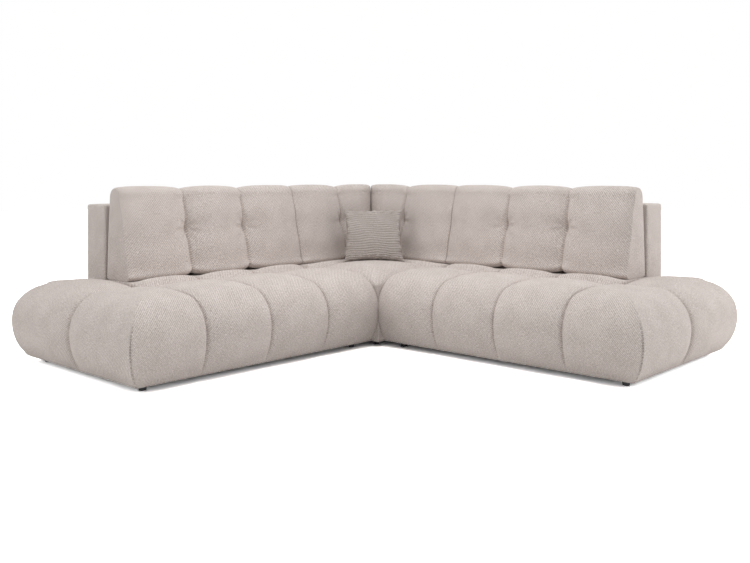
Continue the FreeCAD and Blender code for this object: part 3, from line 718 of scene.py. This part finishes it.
class CushionCloth:
    """The lattice of a wedge-shaped back cushion."""

    puff_cells = 28
    rows = 16
    rings = 56
    foot_depth = 0.202
    waist_depth = 0.143
    head_depth = 0.112
    foot_set_back = 0.016
    side_bow = 0.008
    seam_drop = 0.020
    tuft_z = 0.652
    end_fullness = 0.4
    lean = 0.032
    waist_z = 0.635
    waist_swell = 0.04
    head_swell = 0.02
    roll = 0.026
    foot_height = 0.052
    seam_lift = 0.02
    head_rise = 0.055
    over_top = 0.16
    corner_puff = 0.395
    gap = 0.004

    def __init__(self, sizes, corner):
        self.sizes = sizes
        self.corner = corner
        cells = self.puff_cells
        share = spaced(0, 1, cells)
        inner = share[:-1]
        puffs = [self.puff(inner), self.puff(share, last=self.to_end(share))]
        if corner:
            self.seam = CUSHION_START - self.gap - self.corner_puff
            self.near_s = np.concatenate([np.zeros(cells), self.seam + self.corner_puff * share])
            puffs[0] = self.puff(inner, first=(1 - np.abs(2 * inner - 1) ** 6) ** 0.5)
            self.share = np.concatenate([inner, np.ones(cells + 1)])
        else:
            width = (CUSHION_END - CUSHION_START) / 3
            self.near_s = CUSHION_START + width * np.concatenate([inner, 1 + inner, 2 + share])
            puffs.insert(0, self.puff(inner, first=self.to_end(inner)))
        self.seams = cells * np.arange(1, len(puffs))
        self.full, self.lift = np.hstack(puffs)
        self.size = (len(self.full) - 1, self.rows, self.rings)
        self.profiles = [self.profile(full, lift) for full, lift in zip(self.full, self.lift)]

    def to_end(self, share):
        """Fullness towards a boxed end, whose edge seam keeps part of the puff's depth."""
        return self.end_fullness + (1 - self.end_fullness) * crown(share, 4)

    def puff(self, share, first=None, last=None):
        """Fullness across a puff, and how far a channel lifts its foot. A side that is not a channel
        brings its own fullness and lifts nothing."""
        sewn = crown(share)
        full = np.where(share < 0.5, sewn if first is None else first, sewn if last is None else last)
        channel = np.where(share < 0.5, first is None, last is None)
        return full, np.where(channel, 1 - sewn, 0)

    def profile(self, full, lift):
        """Front and rear outlines of the cushion, as depth and height."""
        foot = CUSHION_REAR - self.foot_depth - self.sizes.cushion_swell * full
        waist = CUSHION_REAR - self.waist_depth - self.waist_swell * full
        head = CUSHION_REAR - self.head_depth - self.head_swell * full
        low = CUSHION_LOW_Z + self.seam_lift * lift
        head_z = CUSHION_TOP_Z - self.seam_drop * (1 - full) - self.head_rise
        foot_top, foot_z = foot + self.foot_set_back, low + self.foot_height
        middle = (foot_top + waist) / 2 - self.side_bow * (0.25 + 0.4 * full)
        upper = (waist + head) / 2 - self.side_bow * (1 - full / 4)
        front, length = spline([(foot + self.roll, low), (foot + 0.004, low + 0.021), (foot_top, foot_z),
                                (middle, (foot_z + self.waist_z) / 2), (waist, self.waist_z),
                                (upper, (self.waist_z + head_z) / 2), (head, head_z)], self.rings)
        rear, _ = spline([(CUSHION_REAR - self.roll, low), (CUSHION_REAR - 0.009, low + 0.006),
                          (CUSHION_REAR - 0.006, low + self.roll),
                          (CUSHION_REAR - self.lean * 0.5, (low + head_z) / 2 + 0.01),
                          (CUSHION_REAR - self.lean, head_z)], self.rings)
        return front, rear, length

    def points(self, steps):
        """Wing coordinates of every lattice vertex."""
        i, j, k = steps.T
        _, rows, rings = self.size
        front, rear = (np.array([profile[face] for profile in self.profiles])[i, k] for face in (0, 1))
        share = (1 - np.cos(math.pi * j / rows)) / 2
        b, z = (front + (rear - front) * share[:, None]).T
        bow = np.sin(math.pi * j / rows) ** 0.8
        blend = np.clip((k - (rings - 12)) / 12, 0, 1) ** 1.5
        z = z + self.head_rise * bow * blend
        if self.corner:
            mitre = -b + self.gap / 2 * math.sqrt(2)
            far = mitre + (self.seam - mitre) * self.share[i]
            s = np.where(i < self.puff_cells, far, self.near_s[i])
        else:
            s = self.near_s[i]
        seams = np.array([s[i == column].mean() for column in self.seams])
        b = b + np.where(j == 0, drawn_in(s, seams, self.sizes.pinch), 0)
        return self.dimpled(i, j == 0, np.column_stack([s, b, z]))

    def dimpled(self, i, on_front, points):
        """Sewn tufts at mid-height of each channel, with short folds running into them."""
        for column in self.seams:
            at = points[(i == column) & on_front]
            tuft = at[np.argmin(np.abs(at[:, 2] - self.tuft_z))]
            away_s = points[:, 0] - tuft[0]
            away_z = points[:, 2] - tuft[2]
            reach = np.hypot(away_s, away_z)
            angle = np.arctan2(away_z, away_s)
            depth = self.sizes.dimple * np.exp(-np.abs(reach / 0.04) ** 1.4)
            folds = 0.003 * np.cos(7 * angle + 0.8) * np.exp(-((reach - 0.05) / 0.03) ** 2)
            points[:, 1] += np.where(on_front, depth + folds, 0)
        return points

    def cloth_map(self, steps, points):
        """Places on the flat cloth in metres, for the long faces and the ends."""
        _, j, k = steps.T
        length = np.array([entry[2] for entry in self.profiles]).mean()
        _, rows, rings = self.size
        step = length / rings
        wrap_v = np.select([k == rings, (k == 0) & (j > 0) & (j < rows), j == rows],
                           [length + self.over_top * j / rows, -points[:, 1],
                            length + self.over_top + step * (rings - k)], step * k)
        return np.column_stack([points[:, 0], wrap_v]), points[:, 1:]

    def held(self, steps, points):
        """Vertices that the seams, the edges and what the cushion rests on hold in place."""
        i, j, k = steps.T
        sewn, edge = self.sharp(steps, points)
        resting = (k == 0) | ((j == self.rows) & (points[:, 2] < PANEL_TOP_Z))
        twin = (i == 0) & self.corner
        return sewn | edge | resting | twin

    def sharp(self, steps, _):
        """Vertices of the channels and of the seams round the boxed ends."""
        i, j, k = steps.T
        columns, rows, rings = self.size
        edge = ((i == 0) | (i == columns)) & ((j == 0) | (k == rings) | (j == rows))
        return np.isin(i, self.seams), edge


def make_cushion(name, side, corner, material):
    """One loose back cushion."""
    cloth = CushionCloth(bpy.context.scene.sofa_sizes, corner)
    piece = sewn_cover(name, side, cloth, CUSHION_LIMIT, material)
    dressed(piece, name, name + "_cover")


# Scatter pillow


def gathered(places, outward, x, y):
    """Draw the edges of the pillow in between its corners, with small gathers along the seam."""
    for axis, flat, other in ((0, x, y), (1, y, x)):
        from_edge = PILLOW_SIDE / 2 - np.abs(flat)
        gather = np.sin(2 * math.pi * other / GATHER_PITCH + 1.1 * np.sin(19 * other) + np.sign(flat))
        ease = np.clip((PILLOW_SIDE / 2 - np.abs(other)) / 0.05, 0, 1)
        ridge = GATHER_HEIGHT * gather * ease * np.exp(-((from_edge - 0.02) / 0.018) ** 2)
        places += outward * ridge[:, None]
        draw = (EDGE_DRAW * ease ** 0.5 + GATHER_DRAW * gather * ease) * np.exp(-from_edge / 0.04)
        places[:, axis] -= np.sign(flat) * draw


def ribbed(piece, ribs):
    """Raise the ribs of the pillow's cloth, which wander a little."""
    places = coordinates(piece)
    corners = read(piece.data.loops, "vertex_index", kind=int)
    across, height = np.zeros((2, len(places)))
    across[corners], height[corners] = read(piece.data.uv_layers.active.data, "uv", 2).T
    wander = RIB_WANDER * np.sin(2 * math.pi * across / 0.17 + 19 * height)
    ridge = np.abs(np.sin(math.pi * ((height / PILLOW_SIDE + 0.5) * ribs + wander))) ** 0.7
    inside = np.clip((0.5 - np.abs(height / PILLOW_SIDE)) / 0.03, 0, 1)
    inside *= np.clip((0.5 - np.abs(across / PILLOW_SIDE)) / 0.02, 0, 1)
    return places + normals(piece) * ((ridge - 0.6) * RIB_HEIGHT * inside)[:, None]


def make_pillow(material):
    """Two squares of ribbed cloth sewn edge to edge and filled, leaning into the corner."""
    low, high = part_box("pillow_cover")
    cells = 88
    piece, steps = lattice_block("scatter_pillow_upholstery", cells, cells, 1)
    i, j, k = steps.T
    u, v = 2 * i / cells - 1, 2 * j / cells - 1
    x = (i / cells - 0.5) * PILLOW_SIDE
    y = (j / cells - 0.5) * PILLOW_SIDE
    depth = (1 - np.abs(u) ** 4) * (1 - np.abs(v) ** 4)
    sign = np.where(k == 1, 1, -1)
    move_to(piece, np.column_stack([x, y, sign * (0.0015 + 0.012 * depth ** 0.6)]))
    turned_out(piece)
    uv = np.column_stack([x, y])
    lay_cloth(piece, steps, (cells, cells, 1), uv, uv)
    inflate(piece, np.zeros(len(i), dtype=bool), PILLOW_PRESSURE, limit=0.5, frames=24)
    places = coordinates(piece)
    places -= (places.max(axis=0) + places.min(axis=0)) / 2
    gathered(places, normals(piece), x, y)
    places[:, 2] *= 0.6 + 0.4 * (1 - u ** 2) * (1 - v ** 2)
    places *= np.array(PILLOW_SPREAD) / (places.max(axis=0) - places.min(axis=0))
    move_to(piece, places)
    finish_soft(piece, material)
    places = ribbed(piece, bpy.context.scene.sofa_sizes.ribs)
    lean = Matrix.Rotation(math.radians(90 - PILLOW_LEAN), 3, "X")
    turn = Matrix.Rotation(math.radians(45), 3, "Z")
    places = places @ np.array(turn @ lean).T
    move_to(piece, places + np.array((low + high) / 2) - (0, 0, PILLOW_SINK))
    dressed(piece, "scatter_pillow", "pillow_cover")


# Panels and small parts


def make_panel(name, material):
    """One flat padded back panel, with rounded edges and slightly crowned faces."""
    low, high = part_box(name + "_cover")
    high.z += PANEL_RISE
    cells = (64, 14, 28) if high.x - low.x > high.y - low.y else (14, 64, 28)
    piece, steps = lattice_block(name + "_upholstery", *cells)
    half, centre = np.array(high - low) / 2, np.array(high + low) / 2
    share = steps / np.array(cells) * 2 - 1
    at = np.sign(share) * (1 - (1 - np.abs(share)) ** 1.6) * half
    core = np.clip(at, PANEL_RADIUS - half, half - PANEL_RADIUS)
    out = at - core
    length = np.linalg.norm(out, axis=1, keepdims=True)
    points = np.where(length > 1e-9, core + out / np.maximum(length, 1e-9) * PANEL_RADIUS, at)
    free = np.sqrt(1 - (np.abs(at) / half) ** 2)
    raised = PANEL_CROWN * np.sign(at) * (np.abs(at) >= half - 1e-9)
    for axis, others in ((0, (1, 2)), (1, (0, 2)), (2, (0, 1))):
        points[:, axis] += raised[:, axis] * free[:, others].prod(axis=1)
    wrap = np.column_stack([points[:, 0], points[:, 1] + points[:, 2]])
    lay_cloth(piece, steps, cells, wrap, points[:, 1:])
    move_to(piece, points + centre)
    turned_out(piece)
    finish_soft(piece, material)
    dressed(piece, "sofa_base", name + "_cover")


def make_feet(seat, material):
    """Turned plastic glides: one foot is shaped and copied to each place."""
    node = frame["nodes"][seat + "_feet"]
    places = coordinates(node)
    height = places[:, 2].max()
    centres = []
    for x, y, _ in places:
        if not any(math.hypot(x - cx, y - cy) < 3 * FOOT_RADIUS for cx, cy in centres):
            near = places[np.hypot(places[:, 0] - x, places[:, 1] - y) < 3 * FOOT_RADIUS, :2]
            centres.append(tuple((near.min(axis=0) + near.max(axis=0)) / 2))
    bpy.ops.mesh.primitive_cylinder_add(vertices=40, radius=FOOT_RADIUS, depth=height,
                                        location=(0, 0, height / 2))
    foot = bpy.context.object
    bpy.ops.object.transform_apply(location=True, rotation=True, scale=True)
    switch("EDIT")
    bpy.ops.mesh.select_all(action="DESELECT")
    switch("OBJECT")
    for face in foot.data.polygons:
        face.select = face.normal.z < -0.9
    switch("EDIT")
    bpy.ops.transform.resize(value=(FOOT_TAPER, FOOT_TAPER, 1), center_override=(0, 0, 0))
    bpy.ops.mesh.inset(thickness=0.003)
    switch("OBJECT")
    bevel = foot.modifiers.new("Edge", "BEVEL")
    bevel.width = 0.0015
    bevel.segments = 3
    bevel.limit_method = "ANGLE"
    bpy.ops.object.modifier_apply(modifier=bevel.name)
    copies = []
    for x, y in centres:
        copies.append(set_up(foot.data.copy(), (0, 0, 0)))
        copies[-1].data.transform(Matrix.Translation((x, y, 0)))
    bpy.data.objects.remove(foot)
    only(*copies)
    bpy.ops.object.join()
    piece = bpy.context.object
    piece.name = piece.data.name = seat + "_glides"
    bpy.ops.object.shade_smooth_by_angle(angle=SMOOTH_ANGLE)
    coat(piece, material)
    dressed(piece, "sofa_base", seat + "_feet")


def make_lining(seat, material):
    """Black lining wrapped over the frame's lower edge, sagging a little between the feet."""
    low, high = (np.array(corner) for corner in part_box(seat + "_lining"))
    low[:2] += LINING_INSET
    high[:2] -= LINING_INSET
    cells = (36, 36, 2)
    piece, steps = lattice_block(seat + "_dust_lining", *cells)
    share = steps / np.array(cells)
    across, along, up = share.T
    points = low + (high - low) * share
    sag = np.sin(math.pi * across) * np.sin(math.pi * along)
    points[:, 2] += np.where(up < 0.4, LINING_RIM * (1 - sag ** 0.3) - LINING_SAG * sag, 0)
    lay_cloth(piece, steps, cells, points[:, :2], points[:, 1:])
    move_to(piece, points)
    turned_out(piece)
    finish_soft(piece, material, levels=0)
    bpy.ops.object.shade_smooth_by_angle(angle=SMOOTH_ANGLE)
    dressed(piece, "sofa_base", seat + "_lining")


# Operators


SEATS = ("left_seat", "right_seat", "corner_seat")
PANELS = ("left_back", "right_back", "corner_left_back", "corner_right_back")
CUSHIONS = (("left_cushion", "left", False), ("right_cushion", "right", False),
            ("left_corner_cushion", "left", True), ("right_corner_cushion", "right", True))

# Size of the photo in pixels, and the focal length and horizon row fitted to it
PHOTO_WIDTH, PHOTO_HEIGHT = 750, 563
FOCAL_PIXELS = 856.6
HORIZON_ROW = 177.8


def shared(name, make):
    """A material that several operators share."""
    return bpy.data.materials.get(name) or make(name)


class SOFA_OT_seats(bpy.types.Operator):
    """Quilted covers of the two wings and the corner seat"""
    bl_idname = "sofa.seats"
    bl_label = "Seats"

    def execute(self, context):
        cloth = shared("woven_chenille", woven_cloth)
        make_wing_seat("right", cloth)
        make_wing_seat("left", cloth)
        make_corner_seat(cloth)
        return {"FINISHED"}


class SOFA_OT_cushions(bpy.types.Operator):
    """Four loose back cushions"""
    bl_idname = "sofa.cushions"
    bl_label = "Back cushions"

    def execute(self, context):
        cloth = woven_cloth("cushion_chenille", pitch_mm=12.8)
        for name, side, corner in CUSHIONS:
            make_cushion(name, side, corner, cloth)
        return {"FINISHED"}


class SOFA_OT_pillow(bpy.types.Operator):
    """Ribbed scatter pillow"""
    bl_idname = "sofa.pillow"
    bl_label = "Scatter pillow"

    def execute(self, context):
        make_pillow(woven_cloth("ribbed_corduroy", shade=0.78))
        return {"FINISHED"}


class SOFA_OT_panels(bpy.types.Operator):
    """Flat upholstered back panels"""
    bl_idname = "sofa.panels"
    bl_label = "Back panels"

    def execute(self, context):
        cloth = shared("woven_chenille", woven_cloth)
        for name in PANELS:
            make_panel(name, cloth)
        return {"FINISHED"}


class SOFA_OT_underside(bpy.types.Operator):
    """Feet and dust linings"""
    bl_idname = "sofa.underside"
    bl_label = "Feet and lining"

    def execute(self, context):
        plastic = speckled("moulded_black_plastic", "#0D0D0E", "#1B1B1C", 1.2, 0.55)
        lining = speckled("black_dust_cloth", "#08080A", "#161618", 1.5, 0.95, sheen=0.1)
        for seat in SEATS:
            make_feet(seat, plastic)
            make_lining(seat, lining)
        return {"FINISHED"}


class SOFA_OT_inside(bpy.types.Operator):
    """Finishes of the frame, straps, foam and fittings inside"""
    bl_idname = "sofa.inside"
    bl_label = "Inner parts"

    def execute(self, context):
        finishes = {
            "frame_timber": sawn_wood("sawn_softwood"),
            "foam": speckled("polyurethane_foam", "#D8C98E", "#EFE4B6", 1.6, 0.95),
            "strap_webbing": speckled("rubber_webbing", "#131312", "#2B2A28", 2.0, 0.85),
            "fitting_steel": speckled("zinc_plated_steel", "#8E8F92", "#B9BABD", 3.0, 0.38, metallic=1.0),
            "pillow_fibre": speckled("polyester_fibre", "#D9D8D4", "#F3F2EF", 4.0, 0.95),
            "seat_fabric": shared("woven_chenille", woven_cloth),
        }
        slots = {entry["node"]: entry["material_slot"] for entry in frame["record"]["subparts"]}
        for node, piece in frame["nodes"].items():
            if slots[node] in finishes:
                coat(piece, finishes[slots[node]])
        return {"FINISHED"}


class SOFA_OT_stage(bpy.types.Operator):
    """Pale floor, soft light and the camera"""
    bl_idname = "sofa.stage"
    bl_label = "Stage"

    def execute(self, context):
        scene = context.scene
        scene.view_settings.view_transform = "Standard"
        bpy.ops.mesh.primitive_plane_add(size=40, location=(0, 0, 0))
        floor = context.object
        floor.name = "floor"
        material, tree = new_material("white_floor")
        seen = ray_kinds(tree, "Is Camera Ray", "Is Glossy Ray")
        shown = add(tree, "Mix", {0: seen, 6: linear("#E6E5E4"), 7: (4.5, 4.5, 4.5, 1.0)}, data_type="RGBA")
        add(tree, "OutputMaterial", {"Surface": add(tree, "BsdfDiffuse", {"Color": (shown, 2)})})
        floor.data.materials.append(material)
        world = bpy.data.worlds.new("studio")
        tree = cleared(world)
        seen = ray_kinds(tree, "Is Camera Ray", "Is Glossy Ray", "Is Transmission Ray")
        strength = add(tree, "MapRange", {"Value": seen, "To Min": 0.45, "To Max": 1.0})
        sky = add(tree, "Background", {"Color": (1.0, 1.0, 1.0, 1.0), "Strength": strength})
        add(tree, "OutputWorld", {"Surface": sky})
        scene.world = world
        for name, place, size, power in (("overhead", (0.0, 0.0, 3.8), 4.0, 88),
                                         ("key", (3.6, 2.6, 1.2), 1.6, 49),
                                         ("front", (0.5, -0.5, 1.9), 1.2, 4.5),
                                         ("side", (-1.6, -4.0, 1.5), 1.8, 28)):
            lamp = bpy.data.lights.new(name, "AREA")
            lamp.energy = power
            lamp.size = size
            light = set_up(lamp, place)
            light.rotation_euler = (Vector((0, 0, 0.4)) - Vector(place)).to_track_quat("-Z", "Y").to_euler()
        lens = bpy.data.cameras.new("camera")
        camera = set_up(lens, (2.9015, -3.1955, 0.923))
        camera.rotation_euler = (math.radians(90), 0, math.radians(42.64))
        lens.sensor_width = 36
        lens.lens = lens.sensor_width * FOCAL_PIXELS / PHOTO_WIDTH
        lens.shift_y = (HORIZON_ROW - PHOTO_HEIGHT / 2) / PHOTO_WIDTH
        lens.clip_end = 100
        scene.camera = camera
        return {"FINISHED"}


class SOFA_PT_panel(bpy.types.Panel):
    """Buttons that build the sofa's pieces"""
    bl_idname = "SOFA_PT_panel"
    bl_label = "Corner sofa"
    bl_space_type = "VIEW_3D"
    bl_region_type = "UI"
    bl_category = "Sofa"

    def draw(self, context):
        for group in (context.scene.sofa_sizes, context.scene.sofa_colours):
            for name in group.__annotations__:
                self.layout.prop(group, name)
        for operator in OPERATORS:
            self.layout.operator(operator.bl_idname)


OPERATORS = (SOFA_OT_stage, SOFA_OT_seats, SOFA_OT_cushions, SOFA_OT_pillow, SOFA_OT_panels,
             SOFA_OT_underside, SOFA_OT_inside)
CLASSES = (SofaSizes, SofaColours) + OPERATORS + (SOFA_PT_panel,)


def register():
    for item in CLASSES:
        bpy.utils.register_class(item)
    bpy.types.Scene.sofa_sizes = PointerProperty(type=SofaSizes)
    bpy.types.Scene.sofa_colours = PointerProperty(type=SofaColours)


def unregister():
    del bpy.types.Scene.sofa_colours
    del bpy.types.Scene.sofa_sizes
    for item in reversed(CLASSES):
        bpy.utils.unregister_class(item)


def main():
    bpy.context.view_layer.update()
    register()
    bpy.ops.sofa.stage()
    bpy.ops.sofa.seats()
    bpy.ops.sofa.cushions()
    bpy.ops.sofa.pillow()
    bpy.ops.sofa.panels()
    bpy.ops.sofa.underside()
    bpy.ops.sofa.inside()


if __name__ == "__main__":
    main()
